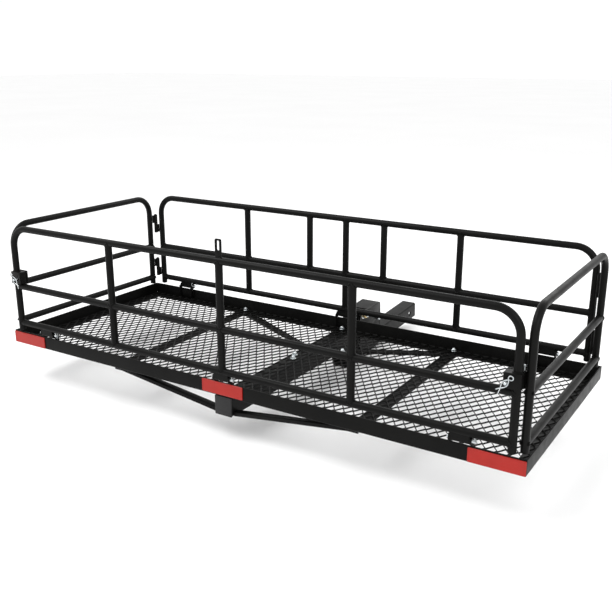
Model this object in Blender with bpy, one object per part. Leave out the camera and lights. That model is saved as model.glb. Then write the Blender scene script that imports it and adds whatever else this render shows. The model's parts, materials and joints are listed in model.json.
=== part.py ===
"""Folding hitch cargo carrier: steel tray, four tube fences, folding receiver shank. Metres, +Z up.

X runs along the tray, +Y towards the vehicle. It is drawn about the middle of the tray's underside, and the
last lines move it so that the origin is the middle of the hitch pin's hole in the shank.
"""
import math
import bpy
import bmesh
from mathutils import Matrix, Vector

for old in list(bpy.data.objects):
    bpy.data.objects.remove(old, do_unlink=True)

# overall sizes
TRAY_LENGTH = 1.524
TRAY_WIDTH = 0.6096
FENCE_TOP = 0.3535        # top of the fence tube above the tray underside
# stock sizes
ANGLE_LEG = 0.0381
ANGLE_WALL = 0.003
SQUARE_TUBE = 0.0508
SQUARE_WALL = 0.0032
SHANK_WALL = 0.0048
FENCE_TUBE = 0.018
UPRIGHT_TUBE = 0.019
# clearances
GAP = 0.0003              # between pieces that touch
PIN_CLEAR = 0.0004        # round a turning or sliding pin, on the radius
RUN_CLEAR = 0.0005        # between pieces that move past each other
# fences
BEND_RADIUS = 0.055
FENCE_INSET = 0.0013      # fence centre plane inside the tray edge
POST_FOOT = 0.046         # lower end of the posts
RAIL_CLEAR = 0.001        # bottom rails above the bracket ears
MID_RAIL_SHARE = 0.392    # of the way from the bottom rail to the top one
UPRIGHT_SHARE = 0.4711    # outer uprights, as a share of the half length
SHORT_UPRIGHT_SHARE = 0.165
NEAR_POST_INSET = 0.033
BACK_POST_INSET = 0.0385
GATE_INSET = 0.012
GATE_NEAR_INSET = 0.0168
GATE_FAR_INSET = 0.032
TAB_HEIGHT = 0.0437
TAB_WIDTH = 0.019
# fence base brackets
BRACKET_SHARE = 0.8136    # outer brackets, as a share of the half length
BRACKET_WIDTH = 0.051
BRACKET_WALL = 0.003
BASE_PIN_RADIUS = 0.0035
BASE_AXIS_LIFT = 0.0104   # pin axis above the tray edge
EYE_RADIUS = 0.008
# corner pins and gate hinges
LATCH_LENGTH = 0.036
LATCH_HEIGHT = 0.034
LATCH_NEAR = 0.0125       # block faces from the fence's centre plane
LATCH_FAR = 0.0095
CORNER_PIN_RADIUS = 0.0035
CORNER_PIN_INSET = 0.0165 # pin axis inside the post's axis
CORNER_PIN_RISE = 0.0155  # pin axis above the block's underside
CORNER_PIN_TRAVEL = 0.010
CORNER_PIN_TAIL = 0.003   # pin end beyond the clip
GATE_TAB_WALL = 0.004
GATE_TAB_CLEAR = 0.0025   # tab from the block: the tab swings past the post on an arc
GATE_TAB_HEIGHT = 0.035
CLIP_WIRE = 0.0011
CLIP_TILT = math.radians(50)
BARREL_RADIUS = 0.006
BARREL_HEIGHT = 0.030
HINGE_PIN_RADIUS = 0.0035
HINGE_LOW_Z = 0.073
HINGE_HIGH_Z = 0.224
# tray
SHEET = 0.002
CROSS_BAR_WIDTH = 0.0381
CROSS_BAR_SHIFT = 0.0043  # bar centre outside the uprights' plane
BRACE_OVERHANG = 0.0159   # brace tips outside the uprights' plane
REFLECTOR_LENGTH = 0.124
REFLECTOR_HEIGHT = 0.033
REFLECTOR_DEPTH = 0.0025
BRACE_DEPTH = 0.020
BRACE_THICK = 0.008
CAP_THICK = 0.0045
# folding shank
PIVOT_OUT = 0.0602        # pivot axis beyond the tray edge
PIVOT_SINK = 0.0001       # pivot axis below the top of the tray's edge
PIVOT_RADIUS = 0.006
SHANK_RISE = math.radians(3.9)
SHANK_CLEAR = 0.0022      # top of the shank below the main tube, at the pivot
SHANK_FRONT = 0.390       # from the pivot axis to the open end
SHANK_REAR = 0.100        # from the pivot axis back under the tray
HITCH_HOLE_BACK = 0.045
HITCH_HOLE_RADIUS = 0.008
PLATE = 0.005
PLATE_REAR = 0.020
PLATE_FRONT = 0.115
WEB_START = 0.034
WEB_TOP = 0.006
LUG_WIDTH = 0.020
LUG_EYE = 0.014
LOCK_PIN_RADIUS = 0.006

HALF_L = TRAY_LENGTH / 2
HALF_W = TRAY_WIDTH / 2
RAIL_R = FENCE_TUBE / 2
UPRIGHT_R = UPRIGHT_TUBE / 2
FENCE_Y = HALF_W - FENCE_INSET
TOP_Z = FENCE_TOP - RAIL_R
NEAR_POST_X = HALF_L - NEAR_POST_INSET
BACK_POST_X = HALF_L - BACK_POST_INSET
GATE_X = HALF_L - GATE_INSET
GATE_NEAR_Y = -HALF_W + GATE_NEAR_INSET
GATE_FAR_Y = HALF_W - GATE_FAR_INSET
UPRIGHT_X = UPRIGHT_SHARE * HALF_L
BRACKET_X = BRACKET_SHARE * HALF_L
BASE_Z = ANGLE_LEG + BASE_AXIS_LIFT
BOTTOM_RAIL_Z = BASE_Z + EYE_RADIUS + RAIL_CLEAR + RAIL_R
MID_Z = BOTTOM_RAIL_Z + MID_RAIL_SHARE * (TOP_Z - BOTTOM_RAIL_Z)
FLOOR_Z = ANGLE_WALL + GAP
PIVOT_Y = HALF_W + PIVOT_OUT
PIVOT_Z = ANGLE_LEG - PIVOT_SINK
SHANK_DROP = PIVOT_Z + SQUARE_TUBE + SHANK_CLEAR
CORNER_PIN_X = NEAR_POST_X - CORNER_PIN_INSET
LATCH_LOW = MID_Z + RAIL_R + GAP
LATCH_Z = LATCH_LOW + CORNER_PIN_RISE
HINGE_X = (BACK_POST_X + GATE_X) / 2
HINGE_Y = (FENCE_Y + GATE_FAR_Y) / 2

SIDES = 24
SMALL_SIDES = 16


def paint(name, colour, rough, metal):
    mat = bpy.data.materials.new(name)
    mat.use_nodes = True
    shader = mat.node_tree.nodes["Principled BSDF"]
    shader.inputs["Base Color"].default_value = (*colour, 1.0)
    shader.inputs["Roughness"].default_value = rough
    shader.inputs["Metallic"].default_value = metal
    mat.diffuse_color = (*colour, 1.0)
    return mat


LOOKS = {
    "black_coat": ((0.018, 0.018, 0.019), 0.42, 0.0),
    "black_plastic": ((0.012, 0.012, 0.012), 0.55, 0.0),
    "zinc": ((0.62, 0.62, 0.60), 0.30, 1.0),
    "yellow_zinc": ((0.62, 0.52, 0.26), 0.34, 1.0),
    "red_lens": ((0.56, 0.035, 0.022), 0.28, 0.0),
}


def axis_empty(name, at):
    empty = bpy.data.objects.new(name, None)
    empty.location = at
    bpy.context.scene.collection.objects.link(empty)
    return empty


AXES = {
    "tray": axis_empty("tray_fold_axis", (0, PIVOT_Y, PIVOT_Z)),
    "near": axis_empty("near_fence_axis", (0, -FENCE_Y, BASE_Z)),
    "left_gate": axis_empty("left_gate_axis", (-HINGE_X, HINGE_Y, 0)),
    "right_gate": axis_empty("right_gate_axis", (HINGE_X, HINGE_Y, 0)),
    "left_pin": axis_empty("left_corner_pin_axis", (-CORNER_PIN_X, -FENCE_Y, LATCH_Z)),
    "right_pin": axis_empty("right_corner_pin_axis", (CORNER_PIN_X, -FENCE_Y, LATCH_Z)),
    "lock_pin": axis_empty("fold_lock_pin_axis", (0, PIVOT_Y, PIVOT_Z)),
    "shank": None,
}
for key, above in (("left_pin", "near"), ("right_pin", "near"), ("near", "tray"),
                   ("left_gate", "tray"), ("right_gate", "tray")):
    AXES[key].parent = AXES[above]
    AXES[key].location -= AXES[above].location


def finish(name, bm, look, axis=None, turn=None):
    """Make the object: merged points, outward faces, its own material, its place under a joint axis."""
    bmesh.ops.remove_doubles(bm, verts=bm.verts, dist=1e-7)
    bmesh.ops.recalc_face_normals(bm, faces=bm.faces)
    if turn is not None:
        bmesh.ops.transform(bm, matrix=turn, verts=bm.verts)
    mesh = bpy.data.meshes.new(name)
    origin = Vector((0, 0, 0))
    if axis and AXES[axis]:
        bpy.context.view_layer.update()
        origin = AXES[axis].matrix_world.translation.copy()
        bmesh.ops.translate(bm, verts=bm.verts, vec=-origin)
    bm.to_mesh(mesh)
    bm.free()
    mesh.polygons.foreach_set("use_smooth", [True] * len(mesh.polygons))
    mesh.set_sharp_from_angle(angle=math.radians(32))
    colour, rough, metal = LOOKS[look]
    mesh.materials.append(paint(f"{name}_{look}", colour, rough, metal))
    obj = bpy.data.objects.new(name, mesh)
    bpy.context.scene.collection.objects.link(obj)
    if axis and AXES[axis]:
        obj.parent = AXES[axis]
    return obj


def prism_bm(outline, axis, low, high, bm=None):
    """A flat outline drawn out along one axis; outline points are in the two other axes, in order."""
    bm = bm or bmesh.new()
    place = {"x": lambda a, b, c: (c, a, b), "y": lambda a, b, c: (a, c, b),
             "z": lambda a, b, c: (a, b, c)}[axis]
    ends = [[bm.verts.new(place(a, b, c)) for a, b in outline] for c in (low, high)]
    bm.faces.new(ends[0])
    bm.faces.new(ends[1])
    count = len(outline)
    for k in range(count):
        n = (k + 1) % count
        bm.faces.new((ends[0][k], ends[0][n], ends[1][n], ends[1][k]))
    return bm


def box_bm(low, high, bm=None):
    return prism_bm([(low[0], low[1]), (high[0], low[1]), (high[0], high[1]), (low[0], high[1])], "z",
                    low[2], high[2], bm)


def arc(centre, radius, start, end, steps):
    return [(centre[0] + radius * math.cos(math.radians(start + (end - start) * k / steps)),
             centre[1] + radius * math.sin(math.radians(start + (end - start) * k / steps)))
            for k in range(steps + 1)]


def circle(centre, radius, sides=SMALL_SIDES):
    return arc(centre, radius, 0, 360, sides)[:-1]


def rod_bm(start, end, radius, cope_start=0.0, cope_end=0.0, across=(0, 0, 1), sides=SIDES, bm=None):
    """A round rod; each end is hollowed to sit against a tube of radius cope_* that runs along `across`."""
    bm = bm or bmesh.new()
    start, end, across = Vector(start), Vector(end), Vector(across).normalized()
    along = (end - start).normalized()
    side = along.cross(across).normalized()
    rings = []
    for centre, cope, sign in ((start, cope_start, 1), (end, cope_end, -1)):
        ring = []
        for k in range(sides):
            angle = 2 * math.pi * (k + 0.5) / sides
            u, v = radius * math.cos(angle), radius * math.sin(angle)
            back = math.sqrt(max(cope * cope - u * u, 0.0)) if cope else 0.0
            ring.append(bm.verts.new(centre + side * u + across * v + along * back * sign))
        rings.append(ring)
        half = sides // 2
        for k in range(half - 1):
            a, b, c, d = ring[k], ring[k + 1], ring[sides - 2 - k], ring[sides - 1 - k]
            bm.faces.new((a, b, c, d))
    for k in range(sides):
        n = (k + 1) % sides
        bm.faces.new((rings[0][k], rings[0][n], rings[1][n], rings[1][k]))
    return bm


def swept_bm(points, radius, normal, sides=SIDES, bm=None):
    """A round bar along a flat path whose plane has the given normal."""
    bm = bm or bmesh.new()
    points = [Vector(p) for p in points]
    normal = Vector(normal).normalized()
    rings = []
    for k, p in enumerate(points):
        before = (p - points[k - 1]).normalized() if k else None
        after = (points[k + 1] - p).normalized() if k < len(points) - 1 else None
        tangent = ((before or after) + (after or before)).normalized()
        flat = tangent.cross(normal).normalized()
        stretch = 1.0 / max(tangent.dot(before or after), 0.5)
        rings.append([bm.verts.new(p + flat * radius * stretch * math.cos(2 * math.pi * (j + 0.5) / sides)
                                   + normal * radius * math.sin(2 * math.pi * (j + 0.5) / sides))
                      for j in range(sides)])
    bm.faces.new(rings[0])
    bm.faces.new(rings[-1])
    for a, b in zip(rings, rings[1:]):
        for j in range(sides):
            n = (j + 1) % sides
            bm.faces.new((a[j], a[n], b[n], b[j]))
    return bm


def combine(obj, tool_bm, operation="DIFFERENCE"):
    """Cut or join a tool shape with an object, in the object's own place."""
    bmesh.ops.recalc_face_normals(tool_bm, faces=tool_bm.faces)
    bpy.context.view_layer.update()
    bmesh.ops.transform(tool_bm, matrix=obj.matrix_world.inverted(), verts=tool_bm.verts)
    mesh = bpy.data.meshes.new("tool")
    tool_bm.to_mesh(mesh)
    tool_bm.free()
    tool = bpy.data.objects.new("tool", mesh)
    tool.matrix_world = obj.matrix_world
    bpy.context.scene.collection.objects.link(tool)
    step = obj.modifiers.new(operation.lower(), "BOOLEAN")
    step.operation, step.solver, step.object = operation, "EXACT", tool
    bpy.context.view_layer.update()
    shaped = bpy.data.meshes.new_from_object(obj.evaluated_get(bpy.context.evaluated_depsgraph_get()))
    obj.modifiers.clear()
    shaped.name = obj.name
    shaped.polygons.foreach_set("use_smooth", [True] * len(shaped.polygons))
    shaped.set_sharp_from_angle(angle=math.radians(32))
    obj.data = shaped
    bpy.data.objects.remove(tool, do_unlink=True)
    return obj


def square_tube(name, low, high, wall, look, axis, turn=None):
    """A square tube along Y, open at both ends."""
    bm = bmesh.new()
    rings = []
    for y in (low[1], high[1]):
        for step in (0.0, wall):
            rings.append([bm.verts.new(v) for v in (
                (low[0] + step, y, low[2] + step), (high[0] - step, y, low[2] + step),
                (high[0] - step, y, high[2] - step), (low[0] + step, y, high[2] - step))])
    for a, b in ((0, 2), (1, 3), (0, 1), (2, 3)):
        for k in range(4):
            n = (k + 1) % 4
            bm.faces.new((rings[a][k], rings[a][n], rings[b][n], rings[b][k]))
    return finish(name, bm, look, axis, turn)


def mirrored(points, side):
    return [(side * a, b) for a, b in points]


# ---- tray ----
def angle_bar(name, length, along, sign):
    """One mitred side of the tray: upright leg outside, level leg inward at the bottom."""
    outer = HALF_W if along == "x" else HALF_L
    half = length / 2
    miter = GAP / 2
    section = [(0, 0), (ANGLE_LEG, 0), (ANGLE_LEG, ANGLE_WALL), (ANGLE_WALL, ANGLE_WALL),
               (ANGLE_WALL, ANGLE_LEG), (0, ANGLE_LEG)]
    bm = bmesh.new()
    ends = []
    for end in (-1, 1):
        ring = []
        for inward, z in section:
            reach = end * (half - inward - miter)
            offset = sign * (outer - inward)
            ring.append(bm.verts.new((reach, offset, z) if along == "x" else (offset, reach, z)))
        ends.append(ring)
        bm.faces.new(ring)
    for k in range(6):
        n = (k + 1) % 6
        bm.faces.new((ends[0][k], ends[0][n], ends[1][n], ends[1][k]))
    return finish(name, bm, "black_coat", "tray")


angle_bar("frame_near", TRAY_LENGTH, "x", -1)
angle_bar("frame_back", TRAY_LENGTH, "x", 1)
angle_bar("frame_left", TRAY_WIDTH, "y", -1)
angle_bar("frame_right", TRAY_WIDTH, "y", 1)

inner = ANGLE_WALL + GAP
for side, word in ((-1, "left"), (1, "right")):
    x_low, x_high = sorted((side * GAP * 2, side * (HALF_L - inner)))
    finish(f"floor_mesh_{word}", box_bm((x_low, -HALF_W + inner, FLOOR_Z),
                                        (x_high, HALF_W - inner, FLOOR_Z + SHEET)), "black_coat", "tray")
    bar_end = HALF_W - ANGLE_LEG - GAP
    bar_x = side * (UPRIGHT_X + CROSS_BAR_SHIFT)
    finish(f"cross_bar_{word}", box_bm((bar_x - CROSS_BAR_WIDTH / 2, -bar_end, 0),
                                       (bar_x + CROSS_BAR_WIDTH / 2, bar_end, ANGLE_WALL)),
           "black_coat", "tray")

MAIN_TOP = -GAP
MAIN_LOW = MAIN_TOP - SQUARE_TUBE
HALF_SQ = SQUARE_TUBE / 2
square_tube("main_tube", (-HALF_SQ, -HALF_W + CAP_THICK + GAP, MAIN_LOW), (HALF_SQ, HALF_W, MAIN_TOP),
            SQUARE_WALL, "black_coat", "tray")
cap = finish("tube_cap", box_bm((-HALF_SQ, -HALF_W, MAIN_LOW), (HALF_SQ, -HALF_W + CAP_THICK, MAIN_TOP)),
             "black_plastic", "tray")
plug = SQUARE_WALL + GAP
combine(cap, box_bm((-HALF_SQ + plug, -HALF_W + CAP_THICK / 2, MAIN_LOW + plug),
                    (HALF_SQ - plug, -HALF_W + 0.018, MAIN_TOP - plug)), "UNION")

NEAR_BRACE_Y = -HALF_W + 0.009
for side, word in ((-1, "left"), (1, "right")):
    root = HALF_SQ + GAP
    tip = UPRIGHT_X + BRACE_OVERHANG
    finish(f"brace_near_{word}", prism_bm(mirrored([
        (root, MAIN_LOW + 0.001), (tip - 0.026, -GAP - BRACE_THICK), (tip, -GAP - BRACE_THICK), (tip, -GAP),
        (tip - 0.044, -GAP), (root, MAIN_LOW + 0.012)], side), "y", NEAR_BRACE_Y, NEAR_BRACE_Y + BRACE_DEPTH),
        "black_coat", "tray")
    finish(f"brace_back_{word}", prism_bm(mirrored([
        (root, 0.110), (tip - 0.006, HALF_W - 0.028), (tip - 0.006, HALF_W - 0.012),
        (tip - 0.038, HALF_W - 0.012), (root, 0.129)], side), "z", -GAP - BRACE_THICK, -GAP),
        "black_coat", "tray")

FACE_Y = -HALF_W - GAP
for word, centre, lift in (("left", -HALF_L + REFLECTOR_LENGTH / 2 + 0.0005, 0.0022),
                           ("centre", 0.0, 0.0045),
                           ("right", HALF_L - REFLECTOR_LENGTH / 2 - 0.0005, 0.0022)):
    finish(f"reflector_{word}", box_bm((centre - REFLECTOR_LENGTH / 2, FACE_Y - REFLECTOR_DEPTH, lift),
                                       (centre + REFLECTOR_LENGTH / 2, FACE_Y, lift + REFLECTOR_HEIGHT)),
           "red_lens", "tray")

# ---- fence base brackets: two ears on the inner face of the tray edge, an eye for the pin ----
EAR_RADIUS = EYE_RADIUS + 0.0004
HALF_B = BRACKET_WIDTH / 2
for sign, row in ((-1, "near"), (1, "back")):
    wall_in = sign * (HALF_W - ANGLE_WALL - GAP)
    for place, word in ((-BRACKET_X, "left"), (0.0, "centre"), (BRACKET_X, "right")):
        low_z = FLOOR_Z + SHEET + 0.004
        y_pair = sorted((wall_in, wall_in - sign * BRACKET_WALL))
        bracket = finish(f"{row}_bracket_{word}", box_bm(
            (place - HALF_B, y_pair[0], low_z), (place + HALF_B, y_pair[1], ANGLE_LEG - 0.004)),
            "black_coat", "tray")
        ear_top = BASE_Z + 0.001
        for edge in (-1, 1):
            x_pair = sorted((place + edge * HALF_B, place + edge * (HALF_B - BRACKET_WALL)))
            y_ear = sorted((wall_in, wall_in - sign * 0.0125))
            combine(bracket, prism_bm([(y_ear[0], low_z + 0.001), (y_ear[1], low_z + 0.001),
                                       (y_ear[1], ear_top), (y_ear[0], ear_top)], "x", *x_pair), "UNION")
            combine(bracket, prism_bm(circle((sign * FENCE_Y, BASE_Z), EAR_RADIUS), "x", *x_pair), "UNION")
        combine(bracket, prism_bm(circle((sign * FENCE_Y, BASE_Z), BASE_PIN_RADIUS + GAP), "x",
                                  place - HALF_B - 0.01, place + HALF_B + 0.01))
        if row == "near":
            pin = finish(f"near_base_pin_{word}", rod_bm(
                (place - HALF_B - 0.004, -FENCE_Y, BASE_Z), (place + HALF_B + 0.009, -FENCE_Y, BASE_Z),
                BASE_PIN_RADIUS, sides=SMALL_SIDES), "zinc", "tray")
            combine(pin, rod_bm((place - HALF_B - 0.0035, -FENCE_Y, BASE_Z),
                                (place - HALF_B - GAP - 0.0002, -FENCE_Y, BASE_Z),
                                BASE_PIN_RADIUS + 0.0025, sides=SMALL_SIDES), "UNION")


# ---- fences ----
def hoop(name, low_end, high_end, plane, at, axis):
    """An upside-down U of round tube: two posts, two bends and the top rail."""
    span = [low_end, high_end]
    path = [(span[0], POST_FOOT)]
    path += [(span[0] + BEND_RADIUS + p[0], TOP_Z - BEND_RADIUS + p[1])
             for p in arc((0, 0), BEND_RADIUS, 180, 90, 9)]
    path += [(span[1] - BEND_RADIUS + p[0], TOP_Z - BEND_RADIUS + p[1])
             for p in arc((0, 0), BEND_RADIUS, 90, 0, 9)]
    path += [(span[1], POST_FOOT)]
    if plane == "xz":
        points, normal = [(a, at, z) for a, z in path], (0, 1, 0)
    else:
        points, normal = [(at, a, z) for a, z in path], (1, 0, 0)
    return finish(name, swept_bm(points, RAIL_R, normal), "black_coat", axis)


COPE = RAIL_R + GAP


def fence(row, sign, post_x, axis, short_uprights):
    """A long fence: hoop, bottom rail with pin eyes, and a lattice of the mid rail and uprights."""
    y = sign * FENCE_Y
    hoop(f"{row}_hoop", -post_x, post_x, "xz", y, axis)
    rail = finish(f"{row}_bottom_rail", rod_bm((-post_x, y, BOTTOM_RAIL_Z), (post_x, y, BOTTOM_RAIL_Z),
                                               RAIL_R, COPE, COPE), "black_coat", axis)
    eye_half = HALF_B - BRACKET_WALL - RUN_CLEAR
    for place in (-BRACKET_X, 0.0, BRACKET_X):
        outline = arc((y, BASE_Z), EYE_RADIUS - 0.0004, 180, 360, 10)
        outline += [(y + EYE_RADIUS - 0.0004, BOTTOM_RAIL_Z - 0.003),
                    (y - EYE_RADIUS + 0.0004, BOTTOM_RAIL_Z - 0.003)]
        combine(rail, prism_bm(outline, "x", place - eye_half, place + eye_half), "UNION")
        combine(rail, prism_bm(circle((y, BASE_Z), BASE_PIN_RADIUS + PIN_CLEAR), "x",
                               place - 0.04, place + 0.04))
    lattice = finish(f"{row}_lattice", rod_bm((-post_x, y, MID_Z), (post_x, y, MID_Z), RAIL_R, COPE, COPE),
                     "black_coat", axis)
    full = [-UPRIGHT_X, 0.0, UPRIGHT_X]
    for place in full:
        combine(lattice, rod_bm((place, y, BOTTOM_RAIL_Z), (place, y, TOP_Z), UPRIGHT_R, RAIL_R + GAP,
                                RAIL_R + GAP, (1, 0, 0)), "UNION")
    for place in short_uprights:
        combine(lattice, rod_bm((place, y, MID_Z), (place, y, TOP_Z), UPRIGHT_R, 0.0, RAIL_R + GAP,
                                (1, 0, 0)), "UNION")
    return y


NEAR_Y = fence("near_fence", -1, NEAR_POST_X, "near", [])
SHORT_UPRIGHT_X = SHORT_UPRIGHT_SHARE * HALF_L
fence("back_fence", 1, BACK_POST_X, "tray", [-SHORT_UPRIGHT_X, SHORT_UPRIGHT_X])

tab_low = FENCE_TOP + GAP
tab_outline = [(-TAB_WIDTH / 2, tab_low), (TAB_WIDTH / 2, tab_low)]
tab_outline += arc((TAB_WIDTH / 2 - 0.004, tab_low + TAB_HEIGHT - 0.004), 0.004, 0, 90, 4)
tab_outline += arc((-TAB_WIDTH / 2 + 0.004, tab_low + TAB_HEIGHT - 0.004), 0.004, 90, 180, 4)
tab = finish("fence_tab", prism_bm(tab_outline, "y", NEAR_Y - 0.0015, NEAR_Y + 0.0015), "black_coat", "near")
slot_high = tab_low + TAB_HEIGHT - 0.0075
slot = arc((0, slot_high), 0.0035, 0, 180, 8) + arc((0, slot_high - 0.017), 0.0035, 180, 360, 8)
combine(tab, prism_bm(slot, "y", NEAR_Y - 0.01, NEAR_Y + 0.01))

# ---- corner latch blocks, pins and clips ----
LATCH_OUT = NEAR_POST_X + RAIL_R + 0.0015
LATCH_NEAR_Y = NEAR_Y - LATCH_NEAR
LATCH_FAR_Y = NEAR_Y + LATCH_FAR
GATE_TAB_Y = LATCH_FAR_Y + GATE_TAB_CLEAR
CLIP_Y = LATCH_NEAR_Y - CORNER_PIN_TRAVEL - RUN_CLEAR - CLIP_WIRE


def clip_path(side):
    """A hairpin clip in an upright plane: two legs bowed round the pin, pinched, and a round loop."""
    leg = [(-0.0235, 0.0045), (-0.0125, 0.0014), (-0.0085, 0.0036), (-0.004, 0.0050), (0.0, 0.0054),
           (0.004, 0.0050), (0.0078, 0.0033), (0.0104, 0.0014)]
    loop = arc((0.0160, 0), 0.0046, 155, -155, 14)
    points = leg + loop + [(s, -t) for s, t in reversed(leg)]
    c, n = math.cos(CLIP_TILT), math.sin(CLIP_TILT)
    return [(side * (CORNER_PIN_X + s * c - t * n), CLIP_Y, LATCH_Z + s * n + t * c) for s, t in points]


def pin_bore(x, radius, low_y=LATCH_NEAR_Y - 0.01, high_y=GATE_TAB_Y + 0.02):
    return rod_bm((x, low_y, LATCH_Z), (x, high_y, LATCH_Z), radius, sides=SMALL_SIDES)


for side, word in ((-1, "left"), (1, "right")):
    x_pair = sorted((side * LATCH_OUT, side * (LATCH_OUT - LATCH_LENGTH)))
    block = finish(f"latch_block_{word}", box_bm((x_pair[0], LATCH_NEAR_Y, LATCH_LOW),
                                                 (x_pair[1], LATCH_FAR_Y, LATCH_LOW + LATCH_HEIGHT)),
                   "black_coat", "near")
    combine(block, rod_bm((side * NEAR_POST_X, NEAR_Y, LATCH_LOW - 0.01),
                          (side * NEAR_POST_X, NEAR_Y, LATCH_LOW + LATCH_HEIGHT + 0.01),
                          RAIL_R + GAP, across=(1, 0, 0)))
    combine(block, pin_bore(side * CORNER_PIN_X, CORNER_PIN_RADIUS + PIN_CLEAR))
    finish(f"corner_pin_{word}", pin_bore(side * CORNER_PIN_X, CORNER_PIN_RADIUS,
                                          CLIP_Y - CLIP_WIRE - CORNER_PIN_TAIL, GATE_TAB_Y - RUN_CLEAR),
           "zinc", f"{word}_pin")
    finish(f"corner_clip_{word}", swept_bm(clip_path(side), CLIP_WIRE, (0, 1, 0), sides=8),
           "zinc", f"{word}_pin")

# ---- end gates and their lift-off hinges ----
for side, word in ((-1, "left"), (1, "right")):
    gate = f"{word}_gate"
    x = side * GATE_X
    bend = hoop(f"{gate}_hoop", GATE_NEAR_Y, GATE_FAR_Y, "yz", x, gate)
    tab_z = LATCH_LOW + LATCH_HEIGHT / 2
    tab_pair = sorted((side * (LATCH_OUT - LATCH_LENGTH), side * (GATE_X - RAIL_R / 2)))
    combine(bend, box_bm((tab_pair[0], GATE_TAB_Y, tab_z - GATE_TAB_HEIGHT / 2),
                         (tab_pair[1], GATE_TAB_Y + GATE_TAB_WALL, tab_z + GATE_TAB_HEIGHT / 2)), "UNION")
    combine(bend, pin_bore(side * CORNER_PIN_X, CORNER_PIN_RADIUS + PIN_CLEAR))
    for height, part in ((BOTTOM_RAIL_Z, "bottom_rail"), (MID_Z, "mid_rail")):
        finish(f"{gate}_{part}", rod_bm((x, GATE_NEAR_Y, height), (x, GATE_FAR_Y, height), RAIL_R,
                                        COPE, COPE), "black_coat", gate)
    centre = Vector((side * HINGE_X, HINGE_Y))
    to_post = (Vector((side * BACK_POST_X, FENCE_Y)) - centre)
    to_gate = (Vector((x, GATE_FAR_Y)) - centre)
    for low, level in ((HINGE_LOW_Z, "lower"), (HINGE_HIGH_Z, "upper")):
        for reach, base, owner, part in ((to_post, low, "tray", "hinge_pin"),
                                         (to_gate, low + BARREL_HEIGHT + RUN_CLEAR, gate, "hinge_barrel")):
            top = base + BARREL_HEIGHT
            knuckle = finish(f"{part}_{word}_{level}",
                             prism_bm(circle(centre, BARREL_RADIUS), "z", base, top), "black_coat", owner)
            along = reach.normalized()
            across = Vector((-along.y, along.x)) * 0.002
            root = centre + along * (BARREL_RADIUS - 0.0015)
            tip = centre + along * (reach.length - RAIL_R - GAP)
            combine(knuckle, prism_bm([tuple(root - across), tuple(tip - across), tuple(tip + across),
                                       tuple(root + across)], "z", base + 0.002, top - 0.002), "UNION")
            if part == "hinge_pin":
                combine(knuckle, prism_bm(circle(centre, HINGE_PIN_RADIUS), "z", top - 0.002,
                                          top + BARREL_HEIGHT + 0.003), "UNION")
            else:
                combine(knuckle, prism_bm(circle(centre, HINGE_PIN_RADIUS + PIN_CLEAR), "z", base - 0.01,
                                          top + 0.01))

# ---- folding shank, drawn level about the pivot axis and then tipped up towards the vehicle ----
tip_up = (Matrix.Translation((0, PIVOT_Y, PIVOT_Z)) @ Matrix.Rotation(SHANK_RISE, 4, "X"))
SHANK_TOP = -SHANK_DROP
SHANK_LOW = SHANK_TOP - SQUARE_TUBE
shank = square_tube("receiver_shank", (-HALF_SQ, -SHANK_REAR, SHANK_LOW), (HALF_SQ, SHANK_FRONT, SHANK_TOP),
                    SHANK_WALL, "black_coat", "shank", tip_up)
hole_y, hole_z = SHANK_FRONT - HITCH_HOLE_BACK, (SHANK_TOP + SHANK_LOW) / 2
hole = prism_bm(circle((hole_y, hole_z), HITCH_HOLE_RADIUS, 24), "x", -0.05, 0.05)
bmesh.ops.transform(hole, matrix=tip_up, verts=hole.verts)
combine(shank, hole)

PLATE_IN = HALF_SQ + GAP
side_outline = [(-PLATE_REAR, SHANK_LOW + 0.006), (PLATE_FRONT - 0.030, SHANK_LOW + 0.006),
                (PLATE_FRONT, SHANK_LOW + 0.036)]
side_outline += arc((PLATE_FRONT - 0.008, WEB_TOP - 0.008), 0.008, 0, 90, 4)
side_outline += [(WEB_START, WEB_TOP), (0.013, 0.009)]
side_outline += arc((0, 0), 0.0155, 55, 125, 5)
side_outline += [(-PLATE_REAR, 0.002)]
bm = bmesh.new()
for edge in (-1, 1):
    prism_bm(side_outline, "x", *sorted((edge * PLATE_IN, edge * (PLATE_IN + PLATE))), bm=bm)
bmesh.ops.recalc_face_normals(bm, faces=bm.faces)
fold_bracket = finish("fold_bracket", bm, "black_coat", "shank", tip_up)
web = box_bm((-PLATE_IN - PLATE / 2, WEB_START, WEB_TOP - PLATE),
             (PLATE_IN + PLATE / 2, PLATE_FRONT - 0.006, WEB_TOP - 0.0002))
bmesh.ops.transform(web, matrix=tip_up, verts=web.verts)
combine(fold_bracket, web, "UNION")
LOCK_Y, LOCK_Z = -0.011, -0.062
PARK_Y, PARK_Z = 0.098, -0.040
for at, radius in (((0, 0), PIVOT_RADIUS + GAP), ((LOCK_Y, LOCK_Z), LOCK_PIN_RADIUS + PIN_CLEAR),
                   ((PARK_Y, PARK_Z), LOCK_PIN_RADIUS + PIN_CLEAR)):
    hole = prism_bm(circle(at, radius, 20), "x", -0.05, 0.05)
    bmesh.ops.transform(hole, matrix=tip_up, verts=hole.verts)
    combine(fold_bracket, hole)

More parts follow.
